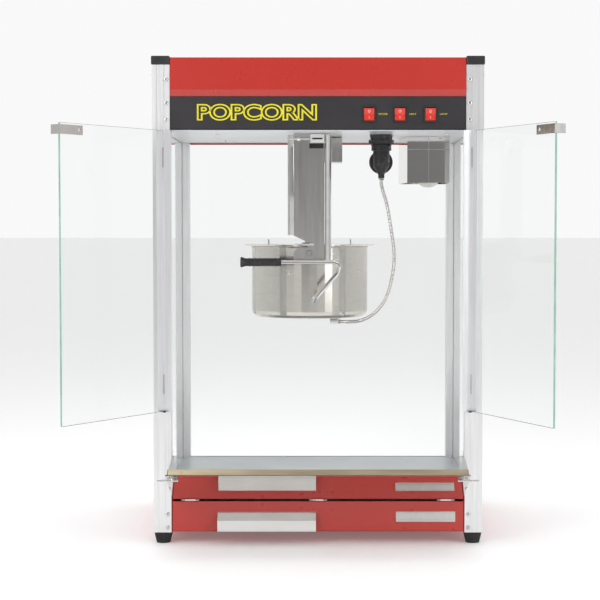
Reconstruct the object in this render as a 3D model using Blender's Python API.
"""Countertop popcorn maker: a glazed cabinet with a tilting, stirred kettle.

Metres, +Z up, front towards -Y. Doors and flap stand open at rest. The pieces are drawn about the
cabinet's own centre, and the last step moves them all so that the origin is the bottom centre of
the whole open machine's box.
"""

import math

import bmesh
import bpy
from mathutils import Matrix, Vector

# Driving dimensions
WIDTH = 0.636
DEPTH = 0.480
POST = 0.034
POST_CORE = 0.0085
FOOT_TOP = 0.021
POST_TOP = 0.923
CAP_TOP = 0.940
SHEET = 0.0015
GLASS = 0.004
GAP = 0.0003
BASE_TOP = 0.098
DECK_TOP = 0.101
CEILING = 0.7975
PANEL_TOP = 0.863
ROOF = 0.937
GLASS_LINE = WIDTH / 2 - POST / 2
REAR_LINE = DEPTH / 2 - POST / 2
INNER_X = WIDTH / 2 - POST
INNER_Y = DEPTH / 2 - POST
FRONT = -DEPTH / 2

DOOR_LOW, DOOR_HIGH = 0.259, 0.7968
DOOR_WIDTH = 0.2905
DOOR_AXIS = (INNER_X + 0.0085, FRONT - 0.006)
DOOR_OPEN = {"left": 124.0, "right": 115.0}

FLAP_AXIS = (FRONT + 0.0035, 0.0845)
FLAP_LENGTH = 0.172
FLAP_OPEN = 65.0
FLAP_HALF = INNER_X - 0.003
WING_REACH = 0.096

KETTLE_X = -0.0173
PIVOT_Z = 0.561
KETTLE_LOW = 0.428
KETTLE_RIM = 0.574
KETTLE_RADIUS = 0.120
LID_RADIUS = 0.1355
HANGER_Y = 0.1435
CLUTCH_Z = 0.704
SHAFT_RADIUS = 0.005

ROCKER_X = (0.098, 0.157, 0.2155)
ROCKER_Z = 0.829
ROCKER_NAMES = ("motor", "heat", "light")
ROCKER_TILT = 8.0

SOCKET = (0.127, -0.100)
LAMP = (0.236, 0.0)
GLAND = (0.033, -0.080, 0.4215)


def material(name, colour, roughness, metallic=0.0, alpha=1.0):
    made = bpy.data.materials.new(name)
    made.use_nodes = True
    shader = made.node_tree.nodes["Principled BSDF"]
    shader.inputs["Base Color"].default_value = (*colour, 1.0)
    shader.inputs["Roughness"].default_value = roughness
    shader.inputs["Metallic"].default_value = metallic
    shader.inputs["Alpha"].default_value = alpha
    made.diffuse_color = (*colour, alpha)
    return made


def clear_scene():
    for item in list(bpy.data.objects):
        bpy.data.objects.remove(item, do_unlink=True)


def add_mesh(name, shape, finish=None, at=(0, 0, 0), smooth=True):
    """Makes an object from a bmesh given in world coordinates, with its origin at a point."""
    bmesh.ops.remove_doubles(shape, verts=shape.verts, dist=1e-6)
    bmesh.ops.recalc_face_normals(shape, faces=shape.faces)
    bmesh.ops.translate(shape, verts=shape.verts, vec=-Vector(at))
    mesh = bpy.data.meshes.new(name)
    shape.to_mesh(mesh)
    shape.free()
    if smooth:
        mesh.shade_smooth()
        mesh.set_sharp_from_angle(angle=math.radians(35))
    made = bpy.data.objects.new(name, mesh)
    made.location = at
    bpy.context.scene.collection.objects.link(made)
    if finish:
        mesh.materials.append(finish)
    return made


def box(name, low, high, finish=None, at=(0, 0, 0), bevel=0.0):
    shape = bmesh.new()
    bmesh.ops.create_cube(shape, size=1.0)
    size = [b - a for a, b in zip(low, high)]
    middle = [(a + b) / 2 for a, b in zip(low, high)]
    bmesh.ops.scale(shape, verts=shape.verts, vec=size)
    bmesh.ops.translate(shape, verts=shape.verts, vec=middle)
    made = add_mesh(name, shape, finish, at)
    if bevel:
        rounding = made.modifiers.new("rounding", "BEVEL")
        rounding.width = bevel
        rounding.segments = 2
    return made


def prism(name, outline, axis, start, end, finish=None, at=(0, 0, 0)):
    """Extrudes a closed 2-D outline along X, Y or Z."""
    place = {
        "X": lambda a, b, c: (c, a, b),
        "Y": lambda a, b, c: (a, c, b),
        "Z": lambda a, b, c: (a, b, c),
    }[axis]
    shape = bmesh.new()
    rings = [[shape.verts.new(place(a, b, c)) for a, b in outline] for c in (start, end)]
    shape.faces.new(rings[0])
    shape.faces.new(rings[1])
    count = len(outline)
    for i in range(count):
        j = (i + 1) % count
        shape.faces.new((rings[0][i], rings[0][j], rings[1][j], rings[1][i]))
    return add_mesh(name, shape, finish, at)


def turned(name, profile, centre, finish=None, at=(0, 0, 0), sides=32, axis="Z"):
    """Turns a closed profile of (radius, height) points about an axis through centre."""
    turn = Matrix.Rotation(math.radians(90), 3, "X") if axis == "Y" else Matrix.Identity(3)
    shape = bmesh.new()
    rings = []
    for radius, height in profile:
        count = 1 if radius == 0 else sides
        ring = []
        for k in range(count):
            angle = 2 * math.pi * k / sides
            spot = Vector((radius * math.cos(angle), radius * math.sin(angle), height))
            ring.append(shape.verts.new(turn @ spot + Vector(centre)))
        rings.append(ring)
    pairs = list(zip(rings, rings[1:]))
    if profile[0][0] or profile[-1][0]:
        pairs.append((rings[-1], rings[0]))
    for lower, upper in pairs:
        for k in range(sides):
            n = (k + 1) % sides
            corners = [lower[k % len(lower)], lower[n % len(lower)], upper[n % len(upper)], upper[k % len(upper)]]
            unique = list(dict.fromkeys(corners))
            if len(unique) > 2:
                shape.faces.new(unique)
    return add_mesh(name, shape, finish, at)


def rod(name, points, radius, finish=None, at=(0, 0, 0), sides=12):
    """A round bar through a list of points, with mitred corners and flat ends."""
    points = [Vector(p) for p in points]
    shape = bmesh.new()
    rings = []
    side = None
    for i, point in enumerate(points):
        before = (point - points[i - 1]).normalized() if i else None
        after = (points[i + 1] - point).normalized() if i + 1 < len(points) else None
        along = ((before or after) + (after or before)).normalized()
        if side is None:
            side = along.orthogonal().normalized()
        side = (side - along * side.dot(along)).normalized()
        other = along.cross(side)
        stretch = 1.0 if before is None or after is None else 1.0 / max(0.5, along.dot(after))
        ring = []
        for k in range(sides):
            angle = 2 * math.pi * k / sides
            spot = (side * math.cos(angle) + other * math.sin(angle)) * radius * stretch
            ring.append(shape.verts.new(point + spot))
        rings.append(ring)
    for lower, upper in zip(rings, rings[1:]):
        for k in range(sides):
            n = (k + 1) % sides
            shape.faces.new((lower[k], lower[n], upper[n], upper[k]))
    shape.faces.new(rings[0])
    shape.faces.new(rings[-1])
    return add_mesh(name, shape, finish, at)


def smooth_path(points, steps):
    """Points of a Catmull-Rom curve through a route's own points."""
    points = [Vector(p) for p in points]
    padded = [2 * points[0] - points[1], *points, 2 * points[-1] - points[-2]]
    curve = []
    for a, b, c, d in zip(padded, padded[1:], padded[2:], padded[3:]):
        for step in range(steps):
            t = step / steps
            curve.append(0.5 * (2 * b + (c - a) * t + (2 * a - 5 * b + 4 * c - d) * t**2
                                + (3 * b - a - 3 * c + d) * t**3))
    return curve + [points[-1]]


def combine(target, tool, operation):
    """Joins or cuts one object with another, and drops the tool."""
    change = target.modifiers.new(operation.lower(), "BOOLEAN")
    change.operation = operation
    change.solver = "EXACT"
    change.object = tool
    evaluated = target.evaluated_get(bpy.context.evaluated_depsgraph_get())
    mesh = bpy.data.meshes.new_from_object(evaluated)
    target.modifiers.clear()
    target.data = mesh
    bpy.data.objects.remove(tool, do_unlink=True)
    return target


def cut(target, *tools):
    for tool in tools:
        combine(target, tool, "DIFFERENCE")
    return target


def join(target, *tools):
    for tool in tools:
        combine(target, tool, "UNION")
    return target


def cross_outline(half_x, half_y, arm_x, arm_y):
    """A plus-shaped plan: a wide arm along X and a deep arm along Y, clear of the corner posts."""
    corner = [(half_x, arm_y), (arm_x, arm_y), (arm_x, half_y)]
    outline = corner + [(-x, y) for x, y in reversed(corner)]
    return outline + [(-x, -y) for x, y in outline]


clear_scene()
RED = material("red_paint", (0.48, 0.055, 0.045), 0.35)
BLACK = material("black_plastic", (0.03, 0.027, 0.03), 0.45)
ALUMINIUM = material("aluminium", (0.68, 0.68, 0.69), 0.35, 1.0)
STAINLESS = material("stainless", (0.62, 0.61, 0.59), 0.2, 1.0)
MIRROR = material("mirror_stainless", (0.8, 0.8, 0.8), 0.05, 1.0)
CLEAR = material("glass", (0.75, 0.85, 0.8), 0.03, alpha=0.3)
PALE = material("pale_deck", (0.55, 0.58, 0.6), 0.4)
RUBBER = material("rubber", (0.02, 0.02, 0.02), 0.8)
ROCKER_RED = material("rocker_red", (0.7, 0.04, 0.02), 0.3)
BRASS = material("brass", (0.7, 0.5, 0.2), 0.3, 1.0)
CERAMIC = material("mica", (0.5, 0.42, 0.3), 0.7)


def post_outline(centre_x, centre_y):
    """An extrusion's section: glass slots in the inner faces, shallow flutes in the outer ones."""
    half = POST / 2
    slots = {"slot": [(0.0, 0.0023, 0.007)], "flutes": [(-0.007, 0.0015, 0.0012), (0.007, 0.0015, 0.0012)]}
    faces = [  # outward direction of each face, taken anticlockwise
        ((1, 0), "slot" if centre_x < 0 else "flutes"),
        ((0, 1), "slot" if centre_y < 0 else "flutes"),
        ((-1, 0), "slot" if centre_x > 0 else "flutes"),
        ((0, -1), "slot" if centre_y > 0 else "flutes"),
    ]
    outline = []
    for (out_x, out_y), kind in faces:
        run = (-out_y, out_x)
        points = [(-half, 0)]
        for middle, half_width, deep in slots[kind]:
            points += [(middle - half_width, 0), (middle - half_width, deep)]
            points += [(middle + half_width, deep), (middle + half_width, 0)]
        for along, deep in points:
            outline.append((
                centre_x + out_x * (half - deep) + run[0] * along,
                centre_y + out_y * (half - deep) + run[1] * along,
            ))
    return outline


def corner_posts():
    for depth_name, y in (("front", -REAR_LINE), ("rear", REAR_LINE)):
        for side_name, x in (("left", -GLASS_LINE), ("right", GLASS_LINE)):
            place = f"{depth_name}_{side_name}"
            outline = post_outline(x, y)
            post = prism(f"post_{place}", outline, "Z", FOOT_TOP + GAP, POST_TOP, ALUMINIUM)
            core = (x - POST_CORE, y - POST_CORE, 0.0), (x + POST_CORE, y + POST_CORE, 1.0)
            cut(post, box("core", *core))
            span_x = sorted((math.copysign(INNER_X, x), math.copysign(WIDTH / 2 + 0.0015, x)))
            span_y = sorted((math.copysign(INNER_Y, y), math.copysign(DEPTH / 2 + 0.0015, y)))
            low, high = zip(span_x, span_y, (POST_TOP + GAP, CAP_TOP))
            box(f"cap_{place}", low, high, BLACK, bevel=0.002)
            foot = [(0, 0), (0.0135, 0), (0.0185, FOOT_TOP), (0, FOOT_TOP)]
            turned(f"foot_{place}", foot, (x, y, 0), RUBBER, sides=20)


def base_and_deck():
    arm_x, arm_y = INNER_X - GAP, INNER_Y - GAP
    half_x, half_y = WIDTH / 2 - 0.002, DEPTH / 2 - 0.002
    low = FOOT_TOP + 0.0015
    base = prism("base_shell", cross_outline(half_x, half_y, arm_x, arm_y), "Z", low, BASE_TOP, RED)
    inner = cross_outline(half_x - SHEET, half_y - SHEET, arm_x - SHEET, arm_y - SHEET)
    hollow = prism("hollow", inner, "Z", low + SHEET, BASE_TOP + 0.01)
    front = (-INNER_X + SHEET, FRONT - 0.01, low + SHEET)
    mouth = box("mouth", front, (INNER_X - SHEET, FRONT + 0.02, BASE_TOP + 0.01))
    cut(base, hollow, mouth)

    notch_x, notch_y = FLAP_HALF - 0.005, -INNER_Y + 0.012
    deck_half_x, deck_back = GLASS_LINE + 0.012, REAR_LINE + 0.012
    corner = [(deck_half_x, notch_y), (deck_half_x, arm_y), (arm_x, arm_y), (arm_x, deck_back)]
    right = [(notch_x, FRONT + 0.012), (notch_x, notch_y), *corner]
    outline = right + [(-x, y) for x, y in reversed(right)]
    prism("warming_deck", outline, "Z", BASE_TOP + GAP, DECK_TOP, PALE)
    plate = (-0.20, -0.13, BASE_TOP - 0.005)
    box("warming_element", plate, (0.20, 0.15, BASE_TOP - GAP), CERAMIC)


def glazing():
    low, high = DECK_TOP + GAP, CEILING - 0.001
    reach_x, reach_y = INNER_X + 0.006, INNER_Y + 0.006
    for name, x in (("side_glass_left", -GLASS_LINE), ("side_glass_right", GLASS_LINE)):
        near = (x - GLASS / 2, -reach_y, low)
        box(name, near, (x + GLASS / 2, reach_y, high), CLEAR)
    near = (-reach_x, REAR_LINE - GLASS / 2, low)
    box("rear_glass", near, (reach_x, REAR_LINE + GLASS / 2, high), CLEAR)


def canopy():
    arm_x, arm_y = INNER_X - GAP, INNER_Y - GAP
    half_x, half_y = WIDTH / 2 - 0.002, DEPTH / 2 - 0.002
    shell = prism("canopy", cross_outline(half_x, half_y, arm_x, arm_y), "Z", CEILING, ROOF, RED)
    inner = cross_outline(half_x - SHEET, half_y - SHEET, arm_x - SHEET, arm_y - SHEET)
    hollow = prism("hollow", inner, "Z", CEILING - 0.01, ROOF - SHEET)
    near = (-INNER_X - 0.001, FRONT - 0.01, CEILING - 0.01)
    window = box("window", near, (INNER_X + 0.001, -arm_y - 0.002, PANEL_TOP))
    cut(shell, hollow, window)

    face = FRONT + 0.002
    near = (-arm_x, face, CEILING + 0.003)
    panel = box("control_panel", near, (arm_x, face + SHEET, PANEL_TOP - GAP), BLACK)
    for x in ROCKER_X:
        half = (0.0115, 0.0145)
        near = (x - half[0], face - 0.01, ROCKER_Z - half[1])
        cut(panel, box("opening", near, (x + half[0], face + 0.01, ROCKER_Z + half[1])))

    edge_x, edge_y = half_x - SHEET - GAP, half_y - SHEET - GAP
    outline = cross_outline(edge_x, edge_y - 0.003, arm_x - SHEET - GAP, arm_y - SHEET - GAP)
    ceiling = prism("ceiling_plate", outline, "Z", CEILING, CEILING + SHEET, PALE)
    shaft_hole = turned("hole", [(0, 0), (0.009, 0), (0.009, 0.02), (0, 0.02)], (KETTLE_X, 0, CEILING - 0.01))
    cut(ceiling, shaft_hole)


def switches():
    face = FRONT + 0.002
    for name, x in zip(ROCKER_NAMES, ROCKER_X):
        flange = (x - 0.01275, face - 0.0025, ROCKER_Z - 0.0155)
        housing = box(f"switch_housing_{name}", flange, (x + 0.01275, face - GAP, ROCKER_Z + 0.0155), BLACK)
        near = (x - 0.0112, face - 0.001, ROCKER_Z - 0.0142)
        body = box("body", near, (x + 0.0112, face + 0.024, ROCKER_Z + 0.0142))
        near = (x - 0.0101, face - 0.01, ROCKER_Z - 0.0128)
        pocket = box("pocket", near, (x + 0.0101, face + 0.012, ROCKER_Z + 0.0128))
        cut(join(housing, body), pocket)
        side = [(-0.0045, 0.0117), (-0.0028, 0), (-0.0045, -0.0117), (0.0035, -0.008), (0.0035, 0.008)]
        axis = (x, face + 0.0015, ROCKER_Z)
        tilt = math.radians(ROCKER_TILT)
        outline = []
        for y, z in side:
            turned_y = y * math.cos(tilt) - z * math.sin(tilt)
            turned_z = y * math.sin(tilt) + z * math.cos(tilt)
            outline.append((axis[1] + turned_y, axis[2] + turned_z))
        prism(f"rocker_{name}", outline, "X", x - 0.0098, x + 0.0098, ROCKER_RED, at=axis)


def hanger_and_drive():
    left, right = KETTLE_X - 0.031, KETTLE_X + 0.030
    top = CEILING - GAP
    tab = 0.0135
    rounded = []
    for step in range(7):
        angle = math.radians(90 + 15 * step)
        rounded.append((left + tab + tab * math.cos(angle), PIVOT_Z - 0.002 + tab * math.sin(angle)))
    outline = [(left, top), (left, PIVOT_Z + 0.035), (left + 0.027, PIVOT_Z + 0.022), (left + 0.027, rounded[0][1])]
    outline += rounded + [(left, PIVOT_Z - 0.0135), (right, PIVOT_Z - 0.0135), (right, top)]
    plates = []
    for y in (-HANGER_Y, HANGER_Y):
        plates.append(prism("hanger_bracket", outline, "Y", y - 0.001, y + 0.001, STAINLESS))
    near = (left + 0.0005, -HANGER_Y, top - 0.0018)
    bridge = box("bridge", near, (right - 0.0005, HANGER_Y, top - 0.0003))
    hole = turned("hole", [(0, -0.2), (0.0058, -0.2), (0.0058, 0.2), (0, 0.2)], (KETTLE_X, 0, PIVOT_Z), axis="Y")
    passage = turned("passage", [(0, 0), (0.02, 0), (0.02, 0.02), (0, 0.02)], (KETTLE_X, 0, top - 0.01))
    cut(join(plates[0], plates[1], bridge), hole, passage)
    plates[0].name = "hanger_bracket"
    x = right + 0.0072
    rod("hanger_rod", [(x, -HANGER_Y, 0.545), (x, -HANGER_Y, CEILING - 0.002)], 0.0066, STAINLESS, sides=16)

    low = (KETTLE_X - 0.026, -0.035, 0.746)
    cover = box("shaft_housing", low, (KETTLE_X + 0.067, 0.035, top - 0.0021), STAINLESS)
    hollow = box("hollow", [edge + SHEET for edge in low], (KETTLE_X + 0.067 - SHEET, 0.035 - SHEET, 1.0))
    cut(cover, hollow, turned("hole", [(0, 0), (0.008, 0), (0.008, 0.1), (0, 0.1)], (KETTLE_X, 0, 0.72)))
    low = (KETTLE_X - 0.05, -0.045, CEILING + SHEET + 0.02)
    motor = box("gear_motor", low, (KETTLE_X + 0.06, 0.045, 0.885), STAINLESS, bevel=0.004)
    foot = (KETTLE_X + 0.02, -0.045, CEILING + SHEET + GAP)
    join(motor, box("stand", foot, (KETTLE_X + 0.06, 0.045, CEILING + SHEET + 0.025)))
    profile = [(0, CLUTCH_Z + 0.005), (0.012, CLUTCH_Z + 0.005), (0.012, CLUTCH_Z + 0.014), (0.006, CLUTCH_Z + 0.017),
               (0.006, CEILING + SHEET + 0.018), (0, CEILING + SHEET + 0.018)]
    shaft = turned("drive_shaft", profile, (KETTLE_X, 0, 0), STAINLESS, at=(KETTLE_X, 0, CLUTCH_Z), sides=20)
    near = (KETTLE_X - 0.0095, -0.0025, CLUTCH_Z - 0.003)
    join(shaft, box("tongue", near, (KETTLE_X + 0.0095, 0.0025, CLUTCH_Z + 0.006), at=(KETTLE_X, 0, CLUTCH_Z)))


def kettle():
    middle = (KETTLE_X, 0, 0)
    pivot = (KETTLE_X, 0, PIVOT_Z)
    r, low, rim = KETTLE_RADIUS, KETTLE_LOW, KETTLE_RIM
    corner = [(r - 0.014 * (1 - math.sin(a)), low + 0.014 * (1 - math.cos(a)))
              for a in [math.radians(d) for d in (0, 30, 60, 90)]]
    jacket = [(0, low), *corner, (r, rim), (r - 0.001, rim), (r - 0.001, low + 0.015),
              (r - 0.015, low + 0.001), (0, low + 0.001)]
    turned("kettle_jacket", jacket, middle, STAINLESS, at=pivot, sides=48)
    inside = r - 0.0015
    bowl = [(0, low + 0.015), (inside, low + 0.0155), (inside, rim + GAP), (r + 0.008, rim + GAP),
            (r + 0.008, rim + 0.0015), (inside - 0.0013, rim + 0.0015), (inside - 0.0013, low + 0.017),
            (0, low + 0.0165)]
    turned("kettle_bowl", bowl, middle, STAINLESS, at=pivot, sides=48)
    element = [(0.045, low + 0.0045), (0.095, low + 0.0045), (0.095, low + 0.0125), (0.045, low + 0.0125)]
    turned("kettle_element", element, middle, BRASS, at=pivot, sides=32)

    bar_low, bar_high = rim + 0.0018, rim + 0.0062
    near = (KETTLE_X - 0.0115, -LID_RADIUS + 0.001, bar_low)
    bar = box("kettle_lid_bar", near, (KETTLE_X + 0.0115, LID_RADIUS - 0.001, bar_high), STAINLESS, at=pivot)
    boss = turned("boss", [(0, bar_low), (0.0095, bar_low), (0.0095, bar_high + 0.01), (0, bar_high + 0.01)], middle, at=pivot)
    bore = turned("bore", [(0, 0.5), (SHAFT_RADIUS + GAP, 0.5), (SHAFT_RADIUS + GAP, 0.65), (0, 0.65)], middle)
    cut(join(bar, boss), bore)
    for name, side in (("left", -1), ("right", 1)):
        start = math.asin(0.0125 / LID_RADIUS)
        arc = [start + (math.pi - 2 * start) * k / 24 for k in range(25)]
        outline = [(KETTLE_X + side * LID_RADIUS * math.sin(a), LID_RADIUS * math.cos(a)) for a in arc]
        axis = (KETTLE_X + side * 0.0132, 0, rim + 0.0034)
        prism(f"kettle_lid_{name}", outline, "Z", rim + 0.0022, rim + 0.0034, STAINLESS, at=axis)

    for name, side in (("front", -1), ("rear", 1)):
        pin = [(0, r + GAP), (0.009, r + GAP), (0.009, r + 0.005), (0.005, r + 0.005), (0.005, r + 0.031), (0, r + 0.031)]
        made = turned(f"kettle_pin_{name}", pin, (0, 0, 0), STAINLESS, sides=20)
        made.data.transform(Matrix.Rotation(math.radians(-90 * side), 4, "X"))
        made.location = pivot

    plane = -HANGER_Y - 0.0165
    bolt = (KETTLE_X + 0.0103, 0.466)
    elbow = (0.042, 0.5435)
    grip_x = (-0.0727, -0.151)
    route = [(bolt[0], -r - 0.0008, bolt[1]), (bolt[0], plane + 0.012, bolt[1]), (bolt[0] + 0.004, plane, bolt[1] + 0.009),
             (elbow[0] - 0.003, plane, elbow[1] - 0.022), (elbow[0], plane, elbow[1] - 0.010),
             (elbow[0] - 0.004, plane, elbow[1] - 0.003), (elbow[0] - 0.012, plane, elbow[1]),
             (grip_x[0] + GAP, plane, elbow[1])]
    rod("tilt_handle", route, 0.004, STAINLESS, at=pivot, sides=12)
    length = grip_x[0] - grip_x[1]
    grip = [(0, 0), (0.0078, 0), (0.0078, length * 0.9), (0.0105, length), (0.0095, length + 0.002), (0, length + 0.002)]
    made = turned("tilt_grip", grip, (0, 0, 0), BLACK, sides=20)
    made.data.transform(Matrix.Rotation(math.radians(-90), 4, "Y"))
    made.data.transform(Matrix.Translation(Vector((grip_x[0], plane, elbow[1])) - Vector(pivot)))
    made.location = pivot


def agitator():
    low = KETTLE_LOW + 0.0195
    top = CLUTCH_Z
    at = (KETTLE_X, 0, low)
    profile = [(0, low), (SHAFT_RADIUS, low), (SHAFT_RADIUS, top - 0.018), (0.012, top - 0.013), (0.012, top), (0, top)]
    shaft = turned("agitator", profile, (KETTLE_X, 0, 0), STAINLESS, at=at, sides=20)
    near = (KETTLE_X - 0.02, -0.0029, top - 0.0065)
    cut(shaft, box("slot", near, (KETTLE_X + 0.02, 0.0029, top + 0.01)))
    near = (KETTLE_X - 0.106, -0.006, low + 0.001)
    blade = box("blade", near, (KETTLE_X + 0.106, 0.006, low + 0.004))
    near = (KETTLE_X - 0.006, -0.08, low + 0.0015)
    cross = box("cross", near, (KETTLE_X + 0.006, 0.08, low + 0.0045))
    join(shaft, blade, cross)


def supply():
    x, y = SOCKET
    skirt = [(0, 0.7655), (0.0195, 0.7655), (0.0195, 0.7790), (0.0255, 0.7790), (0.0255, 0.7870), (0.0215, 0.7875),
             (0.0232, CEILING - GAP), (0, CEILING - GAP)]
    turned("kettle_socket", skirt, (x, y, 0), BLACK, sides=28)
    plug = [(0, 0.7105), (0.0062, 0.7105), (0.0064, 0.718), (0.0163, 0.735), (0.0163, 0.7652), (0, 0.7652)]
    turned("kettle_plug", plug, (x, y, 0), BLACK, sides=28)
    route = [(x, y, 0.7098), (x, y - 0.0005, 0.701), (x + 0.003, y - 0.006, 0.685), (x + 0.011, y - 0.016, 0.656), (x + 0.019, y - 0.024, 0.608),
             (x + 0.025, y - 0.028, 0.558), (x + 0.021, y - 0.026, 0.513), (x + 0.008, y - 0.022, 0.469),
             (x - 0.014, y - 0.014, 0.440), (x - 0.040, y - 0.008, 0.4255), (x - 0.064, y + 0.010, 0.4215),
             (GLAND[0] + 0.0105, GLAND[1], GLAND[2])]
    rod("kettle_conduit", smooth_path(route, 5), 0.0035, ALUMINIUM, sides=8)


def lamp():
    x, y = LAMP
    low, top = 0.703, CEILING - GAP
    outer = [(x - 0.054, -0.05), (x + 0.033, -0.05), (x + 0.033, 0.06), (x - 0.066, 0.06)]
    inner = [(x - 0.0525, -0.049), (x + 0.032, -0.049), (x + 0.032, 0.059), (x - 0.0645, 0.059)]
    shield = prism("lamp_shield", outer, "Z", low, top, MIRROR)
    cut(shield, prism("hollow", inner, "Z", low - 0.01, top - 0.001))
    holder = [(0, 0.765), (0.017, 0.765), (0.019, top - 0.0013), (0, top - 0.0013)]
    turned("lamp_holder", holder, (x - 0.008, y, 0), CERAMIC, sides=20)
    bulb = [(0, 0.694)]
    bulb += [(0.028 * math.sin(a), 0.722 - 0.028 * math.cos(a)) for a in [math.radians(d) for d in range(20, 141, 15)]]
    bulb += [(0.0135, 0.7646), (0, 0.7646)]
    turned("lamp_bulb", bulb, (x - 0.008, y, 0), CLEAR, sides=20)


def inlet():
    rear = DEPTH / 2 - 0.002 + GAP
    near = (0.19, rear, 0.035)
    body = box("power_inlet", near, (0.24, rear + 0.006, 0.065), BLACK)
    cut(body, box("hollow", (0.195, rear + 0.0015, 0.039), (0.235, rear + 0.02, 0.061)))


def doors():
    for name, side in (("left", -1), ("right", 1)):
        axis = (side * DOOR_AXIS[0], DOOR_AXIS[1], (DOOR_LOW + DOOR_HIGH) / 2)

        def span(a, b):
            return sorted((axis[0] - side * a, axis[0] - side * b))

        edge = span(0.002, DOOR_WIDTH)
        back = axis[1] + GLASS / 2
        pieces = [box(f"door_glass_{name}", (edge[0], axis[1] - GLASS / 2, DOOR_LOW),
                      (edge[1], back, DOOR_HIGH), CLEAR, at=axis)]
        flat, leg = span(0.0095, 0.030), span(0.0095, 0.0111)
        stile = box(f"door_stile_{name}", (flat[0], back + GAP, DOOR_LOW), (flat[1], back + 0.0018, DOOR_HIGH),
                    ALUMINIUM, at=axis)
        wing = box("leg", (leg[0], back + GAP, DOOR_LOW), (leg[1], back + 0.0205, DOOR_HIGH), at=axis)
        pieces.append(join(stile, wing))
        strip, flange = span(DOOR_WIDTH - 0.057, DOOR_WIDTH + 0.0013), span(DOOR_WIDTH + GAP, DOOR_WIDTH + 0.0013)
        low = DOOR_HIGH - 0.020
        pull = box(f"door_pull_{name}", (strip[0], back + GAP, low), (strip[1], back + 0.0015, DOOR_HIGH - 0.003),
                   STAINLESS, at=axis)
        lip = box("lip", (flange[0], back - 0.021, low), (flange[1], back + 0.0015, DOOR_HIGH - 0.003), at=axis)
        pieces.append(join(pull, lip))
        for piece in pieces:
            piece.rotation_euler = (0, 0, math.radians(side * DOOR_OPEN[name]))


def front_flap():
    y, z = FLAP_AXIS
    at = (0, y, z)
    hem = z + FLAP_LENGTH
    flap = box("front_flap", (-FLAP_HALF, y - 0.0008, z - 0.0008), (FLAP_HALF, y + 0.0008, hem), MIRROR, at=at)
    fold = box("hem", (-FLAP_HALF + 0.004, y, hem - 0.0012), (FLAP_HALF - 0.004, y + 0.011, hem), at=at)
    parts = [fold]
    lean = math.radians(FLAP_OPEN)
    for side in (-1, 1):
        wing = [(y, z + 0.006), (y, hem - 0.006), (y + WING_REACH * math.sin(lean), z + WING_REACH * math.cos(lean))]
        x = sorted((side * (FLAP_HALF - 0.001), side * (FLAP_HALF - 0.0022)))
        parts.append(prism("wing", wing, "X", x[0], x[1], at=at))
    for x in (-0.2475, 0.0, 0.2475):
        parts.append(rod("knuckle", [(x - 0.0105, y, z + 0.0005), (x + 0.0105, y, z + 0.0005)], 0.0026, at=at))
    join(flap, *parts)
    flap.rotation_euler = (lean, 0, 0)


def drawer():
    low, high = FOOT_TOP + 0.0035, 0.0818
    front = FRONT + 0.001
    box("drawer_front", (-INNER_X + 0.0025, front, low), (INNER_X - 0.0025, front + SHEET, high), RED)
    near = (-0.262, front + SHEET + GAP, low + 0.002)
    tray = box("drawer_tray", near, (0.262, 0.12, 0.0755), STAINLESS)
    hollow = (-0.261, front + SHEET + GAP + 0.001, low + 0.003)
    cut(tray, box("hollow", hollow, (0.261, 0.119, 0.09)))
    face = front - GAP
    fold = [(face, 0.0615), (face - 0.019, 0.0475), (face - 0.019, 0.0265), (face - 0.0178, 0.0265),
            (face - 0.0178, 0.0468), (face - 0.0012, 0.0590), (face - 0.0012, 0.0450), (face, 0.0450)]
    prism("drawer_handle", fold, "X", -0.194, -0.004, STAINLESS)


def centre_on_origin():
    bpy.context.view_layer.update()
    pieces = [item for item in bpy.data.objects if item.type == "MESH"]
    corners = [item.matrix_world @ vertex.co for item in pieces for vertex in item.data.vertices]
    middle = [(min(c[i] for c in corners) + max(c[i] for c in corners)) / 2 for i in (0, 1)]
    for item in pieces:
        item.location -= Vector((*middle, 0))


corner_posts()
base_and_deck()
glazing()
canopy()
switches()
hanger_and_drive()
kettle()
agitator()
supply()
lamp()
inlet()
doors()
front_flap()
drawer()
centre_on_origin()
